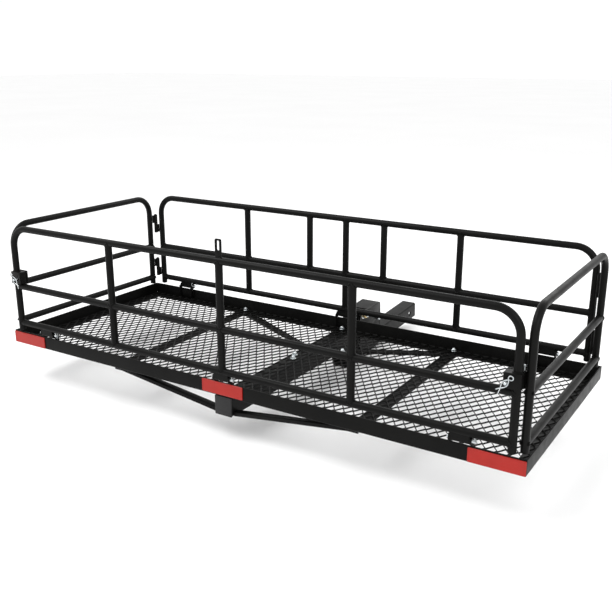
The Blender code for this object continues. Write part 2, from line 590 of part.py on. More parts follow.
OUT = PLATE_IN + PLATE + GAP
bolt = finish("pivot_bolt", rod_bm((-OUT, PIVOT_Y, PIVOT_Z), (OUT + 0.018, PIVOT_Y, PIVOT_Z), PIVOT_RADIUS),
              "zinc", "shank")
hex_r = 0.011
combine(bolt, prism_bm(circle((PIVOT_Y, PIVOT_Z), hex_r, 6), "x", -OUT - 0.0075, -OUT), "UNION")
nut = finish("pivot_nut", prism_bm(circle((PIVOT_Y, PIVOT_Z), hex_r, 6), "x", OUT, OUT + 0.010),
             "yellow_zinc", "shank")
combine(nut, rod_bm((OUT - 0.01, PIVOT_Y, PIVOT_Z), (OUT + 0.03, PIVOT_Y, PIVOT_Z), PIVOT_RADIUS + GAP))

# lug on the end of the main tube: the tray turns on it
lug_y = HALF_W + GAP
lock_at = tip_up @ Vector((0, LOCK_Y, LOCK_Z))
lug_outline = [(lug_y, MAIN_LOW + 0.001)]
lug_outline += arc((lock_at.y, lock_at.z), LUG_EYE, -90, 0, 8)
lug_outline += arc((PIVOT_Y, PIVOT_Z), LUG_EYE, 0, 150, 12)
lug_outline += [(lug_y, PIVOT_Z - 0.004)]
lug = finish("tray_lug", prism_bm(lug_outline, "x", -LUG_WIDTH / 2, LUG_WIDTH / 2), "black_coat", "tray")
combine(lug, prism_bm(circle((PIVOT_Y, PIVOT_Z), PIVOT_RADIUS + PIN_CLEAR, 24), "x", -0.03, 0.03))
combine(lug, prism_bm(circle((lock_at.y, lock_at.z), LOCK_PIN_RADIUS + PIN_CLEAR, 20), "x", -0.03, 0.03))

# wedge between the rear end of the shank and the main tube
rear = [tip_up @ Vector((0, y, SHANK_TOP + GAP)) for y in (-SHANK_REAR, -SHANK_REAR + 0.045)]
finish("rest_pad", prism_bm([(rear[0].y, rear[0].z), (rear[1].y, rear[1].z), (rear[1].y, MAIN_LOW - GAP),
                             (rear[0].y, MAIN_LOW - GAP)], "x", -HALF_SQ + 0.004, HALF_SQ - 0.004),
       "black_coat", "shank")

# lock pin parked in the front pair of holes
park = tip_up @ Vector((0, PARK_Y, PARK_Z))
AXES["lock_pin"].location = (0, park.y, park.z)
lock = finish("fold_lock_pin", rod_bm((-OUT - 0.014, park.y, park.z), (OUT + 0.006, park.y, park.z),
                                      LOCK_PIN_RADIUS, sides=20), "zinc", "lock_pin")
combine(lock, prism_bm(circle((park.y, park.z), LOCK_PIN_RADIUS + 0.004, 20), "x",
                       OUT + 0.0005, OUT + 0.0055), "UNION")

# the middle of the hitch pin's hole is the origin
held_at = tip_up @ Vector((0, hole_y, hole_z))
for obj in bpy.data.objects:
    if obj.parent is None:
        obj.location -= held_at
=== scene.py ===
import json
import math
import bpy
import bmesh
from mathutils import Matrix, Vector, noise


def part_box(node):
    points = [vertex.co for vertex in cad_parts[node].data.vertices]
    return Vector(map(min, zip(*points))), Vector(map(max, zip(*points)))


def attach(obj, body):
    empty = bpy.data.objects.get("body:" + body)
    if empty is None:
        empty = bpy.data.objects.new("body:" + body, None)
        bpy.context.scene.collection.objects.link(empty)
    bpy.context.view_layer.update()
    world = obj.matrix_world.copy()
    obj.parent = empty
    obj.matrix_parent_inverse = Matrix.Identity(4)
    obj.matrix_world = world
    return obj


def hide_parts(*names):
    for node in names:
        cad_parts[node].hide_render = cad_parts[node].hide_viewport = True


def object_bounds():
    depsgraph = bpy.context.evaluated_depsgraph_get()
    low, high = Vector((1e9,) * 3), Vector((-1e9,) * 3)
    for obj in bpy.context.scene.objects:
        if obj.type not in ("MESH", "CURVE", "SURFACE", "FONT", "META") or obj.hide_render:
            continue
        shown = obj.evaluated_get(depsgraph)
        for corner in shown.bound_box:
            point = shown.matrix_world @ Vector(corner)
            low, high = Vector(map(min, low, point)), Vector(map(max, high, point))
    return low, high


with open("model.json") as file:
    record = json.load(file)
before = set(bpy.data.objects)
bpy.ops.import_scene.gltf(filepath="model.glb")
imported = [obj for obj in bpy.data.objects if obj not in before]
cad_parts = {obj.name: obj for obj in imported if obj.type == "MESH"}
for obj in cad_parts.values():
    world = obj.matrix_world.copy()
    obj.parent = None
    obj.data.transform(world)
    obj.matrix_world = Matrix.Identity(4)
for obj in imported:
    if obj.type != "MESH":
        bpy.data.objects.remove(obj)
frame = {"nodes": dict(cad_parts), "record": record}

cadBox = [list(corner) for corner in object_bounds()]
cadNodes = frame["nodes"]
record = frame["record"]
bodyOfNode = {node: body for body, group in record["behaviour"]["bodies"].items() for node in group}
slotOfNode = {entry["node"]: entry["material_slot"] for entry in record["subparts"]}
mountNamed = {mount["name"]: mount for mount in record["mounts"]}


def low(node):
    return Vector(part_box(node)[0])


def high(node):
    return Vector(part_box(node)[1])


def middle(node):
    return (low(node) + high(node)) / 2


# the planes that everything else is placed from
left, right = low("frame_left").x, high("frame_right").x
nearFace, backFace = low("frame_near").y, high("frame_back").y
trayUnder, trayTop = low("frame_near").z, high("frame_near").z
trayMiddle = Vector(((left + right) / 2, (nearFace + backFace) / 2, trayUnder))
print("frame read:", len(cadNodes), "nodes")


# finishes: one Principled material each, with grain and wear from noise
class Finish:
    # a Principled material with a short way to add and join nodes
    def __init__(self, name, metallic=0.0, specular=0.5, coat=0.0, coatRough=0.1):
        self.material = bpy.data.materials.new(name)
        self.material.use_nodes = True
        self.tree = self.material.node_tree
        self.shader = self.tree.nodes["Principled BSDF"]
        self.shader.inputs["Metallic"].default_value = metallic
        self.shader.inputs["Specular IOR Level"].default_value = specular
        self.shader.inputs["Coat Weight"].default_value = coat
        self.shader.inputs["Coat Roughness"].default_value = coatRough
        self.place = self.tree.nodes.new("ShaderNodeTexCoord").outputs["Object"]

    def add(self, kind, links=None, **values):
        node = self.tree.nodes.new(kind)
        for key, value in values.items():
            if key in node.inputs:
                node.inputs[key].default_value = value
            else:
                setattr(node, key, value)
        for key, source in (links or {}).items():
            self.tree.links.new(source, node.inputs[key])
        return node

    def noise(self, scale, detail=3.0, rough=0.5, stretch=None):
        source = self.place
        if stretch:
            source = self.add("ShaderNodeMapping", {"Vector": self.place}, Scale=stretch).outputs["Vector"]
        return self.add("ShaderNodeTexNoise", {"Vector": source}, Scale=scale, Detail=detail,
                        Roughness=rough).outputs["Fac"]

    def ramp(self, source, stops):
        node = self.add("ShaderNodeValToRGB", {"Fac": source})
        band = node.color_ramp
        while len(band.elements) < len(stops):
            band.elements.new(0.5)
        for element, (position, colour) in zip(band.elements, stops):
            element.position = position
            element.color = (*colour, 1.0)
        return node.outputs["Color"]

    def spread(self, source, lowest, highest):
        return self.add("ShaderNodeMapRange", {"Value": source}, **{
            "From Min": 0.3, "From Max": 0.7, "To Min": lowest, "To Max": highest}).outputs["Result"]

    def mix(self, amount, first, second):
        node = self.add("ShaderNodeMix", data_type="RGBA")
        self.tree.links.new(amount, node.inputs["Factor"])
        for socket, source in ((node.inputs[6], first), (node.inputs[7], second)):
            if isinstance(source, tuple):
                socket.default_value = (*source, 1.0)
            else:
                self.tree.links.new(source, socket)
        return node.outputs[2]

    def bump(self, source, strength, distance, after=None):
        links = {"Height": source}
        if after:
            links["Normal"] = after
        return self.add("ShaderNodeBump", links, Strength=strength, Distance=distance).outputs["Normal"]

    def wire(self, **sources):
        names = {"colour": "Base Color", "rough": "Roughness", "normal": "Normal"}
        for key, source in sources.items():
            self.tree.links.new(source, self.shader.inputs[names[key]])
        return self.material


coatLook = {
    "deep": (0.0026, 0.0026, 0.0024),
    "worn": (0.0052, 0.0052, 0.0049),
    "scuff": (0.022, 0.022, 0.022),
    "specular": 0.09,
    "roughLow": 0.33,
    "roughHigh": 0.44,
    "peelScale": 620.0,        # orange peel of the powder, about 1.6 mm
    "peelHeight": 0.00006,
}


def powderCoat(name, lift=1.0, roughness=0.0):
    finish = Finish(name, specular=coatLook["specular"])
    cloud = finish.noise(9.0, 4.0, 0.6)
    scuffs = finish.noise(55.0, 6.0, 0.72, (1.0, 1.0, 0.25))
    deep = tuple(c * lift for c in coatLook["deep"])
    worn = tuple(c * lift for c in coatLook["worn"])
    ground = finish.mix(finish.spread(cloud, 0.0, 1.0), deep, worn)
    marks = finish.ramp(scuffs, [(0.70, (0, 0, 0)), (0.80, (0.55, 0.55, 0.55))])
    colour = finish.mix(marks, ground, coatLook["scuff"])
    rough = finish.spread(finish.noise(34.0, 3.0), coatLook["roughLow"] + roughness,
                          coatLook["roughHigh"] + roughness)
    peel = finish.bump(finish.noise(coatLook["peelScale"], 2.0, 0.4), 0.35, coatLook["peelHeight"])
    waves = finish.bump(finish.noise(75.0, 2.0), 0.18, 0.00025, peel)
    return finish.wire(colour=colour, rough=rough, normal=waves)


def zincPlate(name, tint, bloom, rough):
    # bright plating with a soft rainbow bloom and fine draw lines
    finish = Finish(name, metallic=1.0)
    cloud = finish.noise(60.0, 4.0, 0.6)
    spots = finish.noise(420.0, 5.0, 0.7)
    colour = finish.ramp(cloud, [(0.30, tint), (0.52, bloom), (0.72, tint)])
    colour = finish.mix(finish.ramp(spots, [(0.60, (0, 0, 0)), (0.75, (0.5, 0.5, 0.5))]), colour,
                        tuple(c * 0.45 for c in tint))
    lines = finish.noise(900.0, 2.0, 0.5, (0.15, 1.0, 1.0))
    return finish.wire(colour=colour, rough=finish.spread(cloud, rough - 0.06, rough + 0.10),
                       normal=finish.bump(lines, 0.25, 0.00004))


lensLook = {"deep": (0.31, 0.012, 0.008), "bright": (0.36, 0.015, 0.010), "prism": (0.44, 0.026, 0.016),
            "prismScale": 460.0 / 3}


def reflectorRed(name):
    # moulded lens: small square prisms behind a glossy skin
    finish = Finish(name, specular=0.2, coat=0.12, coatRough=0.15)
    columns = finish.add("ShaderNodeTexWave", {"Vector": finish.place}, bands_direction="X",
                         Scale=lensLook["prismScale"])
    rows = finish.add("ShaderNodeTexWave", {"Vector": finish.place}, bands_direction="Z",
                      Scale=lensLook["prismScale"])
    prisms = finish.add("ShaderNodeMath", {0: columns.outputs["Fac"], 1: rows.outputs["Fac"]},
                        operation="MULTIPLY").outputs["Value"]
    cloud = finish.noise(25.0, 3.0)
    ground = finish.mix(finish.spread(cloud, 0.0, 1.0), lensLook["deep"], lensLook["bright"])
    colour = finish.mix(finish.ramp(prisms, [(0.1, (0, 0, 0)), (0.9, (0.35, 0.35, 0.35))]), ground,
                        lensLook["prism"])
    return finish.wire(colour=colour, rough=finish.spread(cloud, 0.26, 0.36),
                       normal=finish.bump(prisms, 0.25, 0.00015))


def mouldedPlastic(name):
    finish = Finish(name, specular=0.35)
    grain = finish.noise(1500.0, 3.0, 0.6)
    cloud = finish.noise(30.0, 3.0)
    colour = finish.mix(finish.spread(cloud, 0.0, 1.0), (0.009, 0.009, 0.009), (0.016, 0.016, 0.017))
    return finish.wire(colour=colour, rough=finish.spread(cloud, 0.50, 0.62),
                       normal=finish.bump(grain, 0.5, 0.00005))


coat = powderCoat("powderBlack")
sheetCoat = powderCoat("powderBlackFloor", lift=1.25, roughness=0.03)
beadCoat = powderCoat("powderBlackWeld", lift=0.9, roughness=-0.04)
zinc = zincPlate("zincBright", (0.66, 0.67, 0.66), (0.52, 0.56, 0.58), 0.26)
yellowZinc = zincPlate("zincYellow", (0.66, 0.54, 0.26), (0.58, 0.44, 0.24), 0.30)
lensRed = reflectorRed("reflectorRed")
blackPlastic = mouldedPlastic("capPlastic")
finishOfSlot = {"black_coat": coat, "zinc": zinc, "yellow_zinc": yellowZinc, "red_lens": lensRed,
                "black_plastic": blackPlastic}
for nodeName, cadObject in cadNodes.items():
    for holder in cadObject.material_slots:
        holder.material = finishOfSlot[slotOfNode[nodeName]]
print("finishes made")


# shapes: everything below is built from these few helpers
class Shape:
    # points and faces gathered before they become one piece
    def __init__(self):
        self.points = []
        self.faces = []

    def add(self, points, faces):
        start = len(self.points)
        self.points += [Vector(p) for p in points]
        self.faces += [tuple(start + index for index in face) for face in faces]
        return self


def makePiece(shape, name, material, body, stands=(), sharp=35.0):
    mesh = bpy.data.meshes.new(name)
    mesh.from_pydata([tuple(p) for p in shape.points], [], shape.faces)
    builder = bmesh.new()
    builder.from_mesh(mesh)
    bmesh.ops.recalc_face_normals(builder, faces=builder.faces)
    builder.to_mesh(mesh)
    builder.free()
    return dressPiece(mesh, name, material, body, stands, sharp)


def dressPiece(mesh, name, material, body, stands=(), sharp=35.0):
    mesh.shade_smooth()
    mesh.set_sharp_from_angle(angle=math.radians(sharp))
    mesh.materials.clear()
    mesh.materials.append(material)
    piece = bpy.data.objects.new(name, mesh)
    bpy.context.scene.collection.objects.link(piece)
    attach(piece, body)
    if stands:
        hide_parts(*stands)
    return piece


def roundSection(radius, sides=24):
    return [(radius * math.cos(2 * math.pi * k / sides), radius * math.sin(2 * math.pi * k / sides))
            for k in range(sides)]


def turnPoints(centre, radius, start, end, steps):
    return [(centre[0] + radius * math.cos(math.radians(start + (end - start) * k / steps)),
             centre[1] + radius * math.sin(math.radians(start + (end - start) * k / steps)))
            for k in range(steps + 1)]


def roundedRectangle(halfWide, halfTall, radius, steps=4):
    points = []
    for signX, signY, start in ((1, -1, -90), (1, 1, 0), (-1, 1, 90), (-1, -1, 180)):
        points += turnPoints((signX * (halfWide - radius), signY * (halfTall - radius)), radius,
                             start, start + 90, steps)
    return points


def sweep(shape, path, section, normal, closed=False, swell=None):
    # carries a section along a path; normal is square to the path, or nearly
    path = [Vector(p) for p in path]
    count, wide = len(path), len(section)
    points, faces = [], []
    for k, at in enumerate(path):
        ahead = path[(k + 1) % count] if closed else path[min(k + 1, count - 1)]
        behind = path[k - 1] if closed or k else path[0]
        along = (ahead - behind).normalized()
        side = along.cross(Vector(normal)).normalized()
        up = side.cross(along)
        size = swell(k) if swell else 1.0
        points += [at + side * a * size + up * b * size for a, b in section]
    for k in range(count if closed else count - 1):
        first, second = k * wide, ((k + 1) % count) * wide
        for j in range(wide):
            n = (j + 1) % wide
            faces.append((first + j, first + n, second + n, second + j))
    if not closed:
        faces.append(tuple(range(wide)))
        faces.append(tuple(range((count - 1) * wide, count * wide)))
    return shape.add(points, faces)


def turned(shape, profile, at, axis, steps=24):
    # a profile of (radius, height) turned round an axis; radius 0 closes an end
    axis = Vector(axis).normalized()
    side = axis.orthogonal().normalized()
    across = axis.cross(side)
    points, rings, faces = [], [], []
    for radius, height in profile:
        centre = Vector(at) + axis * height
        if radius == 0:
            rings.append([len(points)] * steps)
            points.append(centre)
        else:
            rings.append(list(range(len(points), len(points) + steps)))
            points += [centre + side * radius * math.cos(2 * math.pi * k / steps)
                       + across * radius * math.sin(2 * math.pi * k / steps) for k in range(steps)]
    for lower, upper in zip(rings, rings[1:]):
        for k in range(steps):
            n = (k + 1) % steps
            face = []
            for index in (lower[k], lower[n], upper[n], upper[k]):
                if index not in face:
                    face.append(index)
            if len(face) > 2:
                faces.append(tuple(face))
    return shape.add(points, faces)


def weldRing(shape, centre, branch, along, branchRadius, mainRadius, bead=0.0019, turns=40):
    # the bead where a tube meets the side of another one
    branch, along = Vector(branch), Vector(along)
    across = branch.cross(along)
    path = []
    for k in range(turns):
        angle = 2 * math.pi * k / turns
        u, v = branchRadius * math.cos(angle), branchRadius * math.sin(angle)
        path.append(Vector(centre) + along * u + across * v
                    + branch * (math.sqrt(max(mainRadius ** 2 - v * v, 0)) + 0.0003))
    seed = noise.noise(Vector(centre) * 37.0)
    return sweep(shape, path, roundSection(bead, 6), branch, closed=True,
                 swell=lambda k: 1.0 + 0.16 * math.sin(k * 2.2 + seed * 9)
                 + 0.12 * math.sin(k * 0.7 + seed * 20))


def weldLine(shape, start, end, normal, bead=0.0020):
    start, end = Vector(start), Vector(end)
    steps = max(8, int((end - start).length / 0.0014))
    path = [start.lerp(end, k / steps) for k in range(steps + 1)]
    return sweep(shape, path, roundSection(bead, 8), normal,
                 swell=lambda k: (0.25 if k in (0, steps) else 1.0) + 0.14 * math.sin(k * 2.4)
                 + 0.10 * noise.noise(path[k] * 300))


def bakedMesh(piece):
    # the mesh as its modifiers leave it
    bpy.context.view_layer.update()
    graph = bpy.context.evaluated_depsgraph_get()
    mesh = bpy.data.meshes.new_from_object(piece.evaluated_get(graph))
    bpy.data.objects.remove(piece, do_unlink=True)
    return mesh


def softenNode(nodeName, width):
    # the CAD shape again with its edges rounded over
    source = cadNodes[nodeName]
    builder = bmesh.new()
    builder.from_mesh(source.data)
    bmesh.ops.remove_doubles(builder, verts=builder.verts, dist=1e-6)
    bmesh.ops.dissolve_limit(builder, angle_limit=math.radians(0.6), verts=builder.verts,
                             edges=builder.edges)
    mesh = bpy.data.meshes.new(f"{nodeName}_plain")
    builder.to_mesh(mesh)
    builder.free()
    rough = bpy.data.objects.new(f"{nodeName}_plain", mesh)
    bpy.context.scene.collection.objects.link(rough)
    rounding = rough.modifiers.new("rounding", "BEVEL")
    rounding.width = width
    rounding.segments = 2
    rounding.limit_method = "ANGLE"
    rounding.angle_limit = math.radians(40)
    slot = slotOfNode[nodeName]
    return dressPiece(bakedMesh(rough), f"{nodeName}_finished", finishOfSlot[slot],
                      bodyOfNode[nodeName], (nodeName,), 30.0)


# expanded-metal floor
floorMesh = {
    "longWay": 0.0380,        # diamond, across the tray
    "shortWay": 0.0265,       # diamond, along the tray
    "strandWide": 0.0034,
    "strandThick": 0.0016,
    "lean": math.radians(32),
    "rise": 0.0006,
    "bond": 0.17,             # share of a half diamond where two strands run together
    "nest": 0.36,             # share of a strand's width taken off its swing
    "centre": 0.0021,         # middle of the strands, over the underside of the sheet
    "endGap": 0.0004,
}


def expandedPanel(word):
    look = floorMesh
    node = f"floor_mesh_{word}"
    start, end = low(node), high(node)
    shape = Shape()
    halfPitch = look["shortWay"] / 2
    swing = look["shortWay"] / 4 - look["strandWide"] * look["nest"]
    level = start.z + look["centre"]
    c, s = math.cos(look["lean"]), math.sin(look["lean"])
    wide, thick = look["strandWide"] / 2, look["strandThick"] / 2
    section = [(a * c + b * s, -a * s + b * c) for a, b in
               ((-wide, -thick), (wide, -thick), (wide, thick), (-wide, thick))]
    # one half diamond: the strand swings from -1 to +1
    stops = ((0.0, -1.0), (look["bond"] / 2, -1.0), (0.30, -0.52), (0.70, 0.52),
             (1 - look["bond"] / 2, 1.0))
    strands = int((end.x - start.x) / halfPitch)
    halves = int((end.y - start.y) / (look["longWay"] / 2))
    lead = ((end.y - start.y) - halves * look["longWay"] / 2) / 2
    inset = ((end.x - start.x) - strands * halfPitch) / 2
    for strand in range(strands):
        centreX = start.x + inset + (strand + 0.5) * halfPitch
        path = []
        for half in range(halves):
            up = 1 if (half + strand) % 2 == 0 else -1
            path += [(start.y + lead + (half + share) * look["longWay"] / 2, up * value)
                     for share, value in stops]
        path = [(start.y + look["endGap"], path[0][1])] + path + [(end.y - look["endGap"], path[-1][1])]
        points, faces = [], []
        for y, value in path:
            points += [(centreX + swing * value + a, y, level + look["rise"] * value + b)
                       for a, b in section]
        for k in range(len(path) - 1):
            for j in range(4):
                n = (j + 1) % 4
                faces.append((k * 4 + j, k * 4 + n, k * 4 + 4 + n, k * 4 + 4 + j))
        last = (len(path) - 1) * 4
        faces += [(0, 1, 2, 3), (last, last + 1, last + 2, last + 3)]
        shape.add(points, faces)
    makePiece(shape, f"expanded_floor_{word}", sheetCoat, "tray", (node,), 25.0)


for word in ("left", "right"):
    expandedPanel(word)
print("floor made")

# tray edge: four bars of rolled angle and what is welded to them
edgeAngle = {"leg": high("frame_near").z - low("frame_near").z, "wall": 0.003, "bend": 0.0042,
             "tip": 0.0008, "gap": 0.00015}


def angleOutline():
    # (inward, up) round the section of rolled angle, outer bend first
    leg, wall, bend, tip = edgeAngle["leg"], edgeAngle["wall"], edgeAngle["bend"], edgeAngle["tip"]
    inner = bend - wall + 0.0012
    outline = turnPoints((bend, bend), bend, 180, 270, 6)
    outline += turnPoints((leg - tip, tip), tip, -90, 0, 3)
    outline += turnPoints((leg - tip, wall - tip), tip, 0, 90, 3)
    outline += turnPoints((wall + inner, wall + inner), inner, 270, 180, 5)
    outline += turnPoints((wall - tip, leg - tip), tip, 0, 90, 3)
    outline += turnPoints((tip, leg - tip), tip, 90, 180, 3)
    return outline


def edgeBar(nodeName, alongX, sign):
    outer = (backFace - nearFace) / 2 if alongX else (right - left) / 2
    half = (right - left) / 2 if alongX else (backFace - nearFace) / 2
    outline = angleOutline()
    points = []
    for end in (-1, 1):
        for inward, up in outline:
            reach, offset = end * (half - inward - edgeAngle["gap"]), sign * (outer - inward)
            spot = (reach, offset, up) if alongX else (offset, reach, up)
            points.append(trayMiddle + Vector(spot))
    count = len(outline)
    faces = [tuple(range(count)), tuple(range(count, 2 * count))]
    faces += [(k, (k + 1) % count, count + (k + 1) % count, count + k) for k in range(count)]
    makePiece(Shape().add(points, faces), f"{nodeName}_finished", coat, "tray",
              (nodeName,), 25.0)


for nodeName, alongX, sign in (("frame_near", True, -1), ("frame_back", True, 1),
                               ("frame_left", False, -1), ("frame_right", False, 1)):
    edgeBar(nodeName, alongX, sign)

edgeWeld = {"corner": 0.0042, "wallFace": 0.0036, "bracketBead": 0.0016, "barBead": 0.0014,
            "barReach": 0.008, "proud": 0.0008}
edgeWelds = Shape()
for x, signX in ((left, 1), (right, -1)):
    for y, signY in ((nearFace, 1), (backFace, -1)):
        inner = Vector((x + signX * edgeWeld["corner"], y + signY * edgeWeld["corner"], 0))
        weldLine(edgeWelds, inner + Vector((0, 0, trayUnder + 0.008)),
                 inner + Vector((0, 0, trayTop - 0.003)), (1, 0, 0))
for word in ("left", "centre", "right"):      # brackets to the upright leg
    for row in ("near", "back"):
        first, last = low(f"{row}_bracket_{word}"), high(f"{row}_bracket_{word}")
        wall = nearFace + edgeWeld["wallFace"] if row == "near" else backFace - edgeWeld["wallFace"]
        for x in (first.x - edgeWeld["proud"], last.x + edgeWeld["proud"]):
            weldLine(edgeWelds, (x, wall, first.z + 0.004), (x, wall, trayTop - 0.005), (1, 0, 0),
                     edgeWeld["bracketBead"])
        bottom = first.z - edgeWeld["proud"]
        weldLine(edgeWelds, (first.x + 0.004, wall, bottom), (last.x - 0.004, wall, bottom), (0, 0, 1),
                 edgeWeld["bracketBead"])
for word in ("left", "right"):                # cross bars to the flanges
    for x in (low(f"cross_bar_{word}").x + 0.002, high(f"cross_bar_{word}").x - 0.002):
        for y in (low(f"cross_bar_{word}").y, high(f"cross_bar_{word}").y):
            weldLine(edgeWelds, (x, y - edgeWeld["barReach"], trayUnder - 0.0002),
                     (x, y + edgeWeld["barReach"], trayUnder - 0.0002), (0, 0, 1), edgeWeld["barBead"])
makePiece(edgeWelds, "edge_welds", beadCoat, "tray", (), 60.0)
for node, width in (("cross_bar_left", 0.0006), ("cross_bar_right", 0.0006), ("brace_near_left", 0.0015),
                    ("brace_near_right", 0.0015), ("brace_back_left", 0.0015), ("brace_back_right", 0.0015),
                    ("tube_cap", 0.0015), ("tray_lug", 0.0012), ("rest_pad", 0.0012)):
    softenNode(node, width)
for row in ("near", "back"):
    for word in ("left", "centre", "right"):
        softenNode(f"{row}_bracket_{word}", 0.0006)
for word in ("left", "centre", "right"):
    softenNode(f"near_base_pin_{word}", 0.0006)
print("tray edge made")

# square tubes: main tube and receiver shank
squareTube = {"size": high("main_tube").x - low("main_tube").x, "mainWall": 0.0032, "shankWall": 0.0048,
              "corner": 0.0052, "holeRadius": 0.008, "drillReach": 0.06, "mouth": 0.0007,
              "mouthTrim": 0.0006, "bead": 0.0022, "bracketBead": 0.0024, "proud": 0.0008}


def rolledTube(nodeName, start, end, wall, body, hole=None):
    start, end = Vector(start), Vector(end)
    half, corner = squareTube["size"] / 2, squareTube["corner"]
    along = (end - start).normalized()
    upward = Vector((1, 0, 0)).cross(along)
    outer = roundedRectangle(half, half, corner, 6)
    inner = roundedRectangle(half - wall, half - wall, max(corner - wall, 0.0012), 6)
    count = len(outer)
    points, faces = [], []
    for at, step in ((start, squareTube["mouth"]), (end, -squareTube["mouth"])):
        for outline, shift in ((outer, step), (outer, 0.0), (inner, 0.0), (inner, step)):
            trim = squareTube["mouthTrim"] if shift == 0.0 else 0.0
            grow = -trim if outline is outer else trim
            points += [at + along * shift + Vector((1, 0, 0)) * a * (1 + grow / half)
                       + upward * b * (1 + grow / half) for a, b in outline]
    for ring in ((0, 1), (1, 2), (2, 3)):
        for base in (0, 4 * count):
            for k in range(count):
                n = (k + 1) % count
                a, b = base + ring[0] * count, base + ring[1] * count
                faces.append((a + k, a + n, b + n, b + k))
    for ring in (0, 3):
        for k in range(count):
            n = (k + 1) % count
            a, b = ring * count, (ring + 4) * count
            faces.append((a + k, a + n, b + n, b + k))
    shape = Shape().add(points, faces)
    if hole is None:
        return makePiece(shape, f"{nodeName}_finished", coat, body, (nodeName,), 30.0)
    mesh = bpy.data.meshes.new(nodeName)
    mesh.from_pydata([tuple(p) for p in shape.points], [], shape.faces)
    builder = bmesh.new()
    builder.from_mesh(mesh)
    bmesh.ops.recalc_face_normals(builder, faces=builder.faces)
    builder.to_mesh(mesh)
    builder.free()
    tube = bpy.data.objects.new(nodeName, mesh)
    bpy.context.scene.collection.objects.link(tube)
    drillRadius, drillReach = squareTube["holeRadius"], squareTube["drillReach"]
    drill = turned(Shape(), [(0, -drillReach), (drillRadius, -drillReach), (drillRadius, drillReach),
                             (0, drillReach)], hole, (1, 0, 0), 40)
    drillMesh = bpy.data.meshes.new("drill")
    drillMesh.from_pydata([tuple(p) for p in drill.points], [], drill.faces)
    drillObject = bpy.data.objects.new("drill", drillMesh)
    bpy.context.scene.collection.objects.link(drillObject)
    cut = tube.modifiers.new("hole", "BOOLEAN")
    cut.operation, cut.solver, cut.object = "DIFFERENCE", "EXACT", drillObject
    mesh = bakedMesh(tube)
    bpy.data.objects.remove(drillObject, do_unlink=True)
    return dressPiece(mesh, f"{nodeName}_finished", coat, body, (nodeName,), 30.0)


mainFirst, mainLast = low("main_tube"), high("main_tube")
mainLevel = (mainFirst.z + mainLast.z) / 2
rolledTube("main_tube", (0, mainFirst.y, mainLevel), (0, mainLast.y, mainLevel), squareTube["mainWall"],
           "tray")
underside = Vector(mountNamed["shank_underside"]["axis"])
shankAlong = Vector((0, -underside.z, underside.y)).normalized()
shankUp = -underside.normalized()
halfTall = squareTube["size"] / 2
shankFront = (high("receiver_shank").y - halfTall * abs(shankUp.y)) / shankAlong.y
shankRear = (low("receiver_shank").y + halfTall * abs(shankUp.y)) / shankAlong.y
rolledTube("receiver_shank", shankAlong * shankRear, shankAlong * shankFront, squareTube["shankWall"],
           "shank", (0, 0, 0))
softenNode("fold_bracket", 0.0007)

tubeWelds = Shape()
for signX in (-1, 1):
    x = signX * (halfTall + squareTube["proud"])
    for first, last in ((nearFace + 0.006, nearFace + 0.040), (backFace - 0.040, backFace - 0.004)):
        weldLine(tubeWelds, (x, first, trayUnder - 0.0006), (x, last, trayUnder - 0.0006), (0, 0, 1),
                 squareTube["bead"])
    x = signX * 0.0108
    lugY = low("tray_lug").y + 0.0006
    weldLine(tubeWelds, (x, lugY, mainFirst.z + 0.006), (x, lugY, mainLast.z - 0.004), (1, 0, 0),
             squareTube["bead"])
makePiece(tubeWelds, "main_tube_welds", beadCoat, "tray", (), 60.0)

bracketWelds = Shape()
plateLow, plateHigh = low("fold_bracket"), high("fold_bracket")
for signX in (-1, 1):
    seam = shankUp * (0.0045 - halfTall) + Vector((signX * (halfTall + squareTube["proud"]), 0, 0))
    first = shankAlong * (plateLow.y + 0.006) + seam
    last = shankAlong * (plateHigh.y - 0.036) + seam
    weldLine(bracketWelds, first, last, (1, 0, 0), squareTube["bracketBead"])
makePiece(bracketWelds, "fold_bracket_welds", beadCoat, "shank", (), 60.0)
print("square tubes made")

# near and back fences
fenceTube = {"radius": 0.009, "uprightRadius": 0.0095, "bend": 0.055, "bendSteps": 18, "upright": 0.359,
             "shortUpright": 0.12573, "plugRadius": 0.0080, "plugProud": 0.0016, "tabBead": 0.0014}
bottomRail = high("near_fence_bottom_rail").z - fenceTube["radius"]
midRail = middle("left_gate_mid_rail").z


def hoopPath(first, last, foot, top):
    bend, steps = fenceTube["bend"], fenceTube["bendSteps"]
    path = [(first, foot)]
    path += [(first, foot + (top - bend - foot) * k / 4) for k in range(1, 4)]
    path += turnPoints((first + bend, top - bend), bend, 180, 90, steps)
    path += turnPoints((last - bend, top - bend), bend, 90, 0, steps)
    path += [(last, foot + (top - bend - foot) * k / 4) for k in range(3, 0, -1)]
    return path + [(last, foot)]


def hoopPiece(prefix, body, first, last, foot, top, toSpace, normal):
    shape = Shape()
    sweep(shape, [toSpace(a, z) for a, z in hoopPath(first, last, foot, top)],
          roundSection(fenceTube["radius"], 32), normal)
    makePiece(shape, f"{prefix}_tube", coat, body, (f"{prefix}_hoop",), 40.0)
    plugs = Shape()
    radius, proud = fenceTube["plugRadius"], fenceTube["plugProud"]
    for end in (first, last):
        at = toSpace(end, foot)
        turned(plugs, [(0, -proud), (radius - 0.0018, -proud), (radius - 0.0002, 0.0006 - proud),
                       (radius, 0.0), (0.0, 0.0)], at, (0, 0, 1))
    makePiece(plugs, f"{prefix}_foot_plugs", blackPlastic, body)


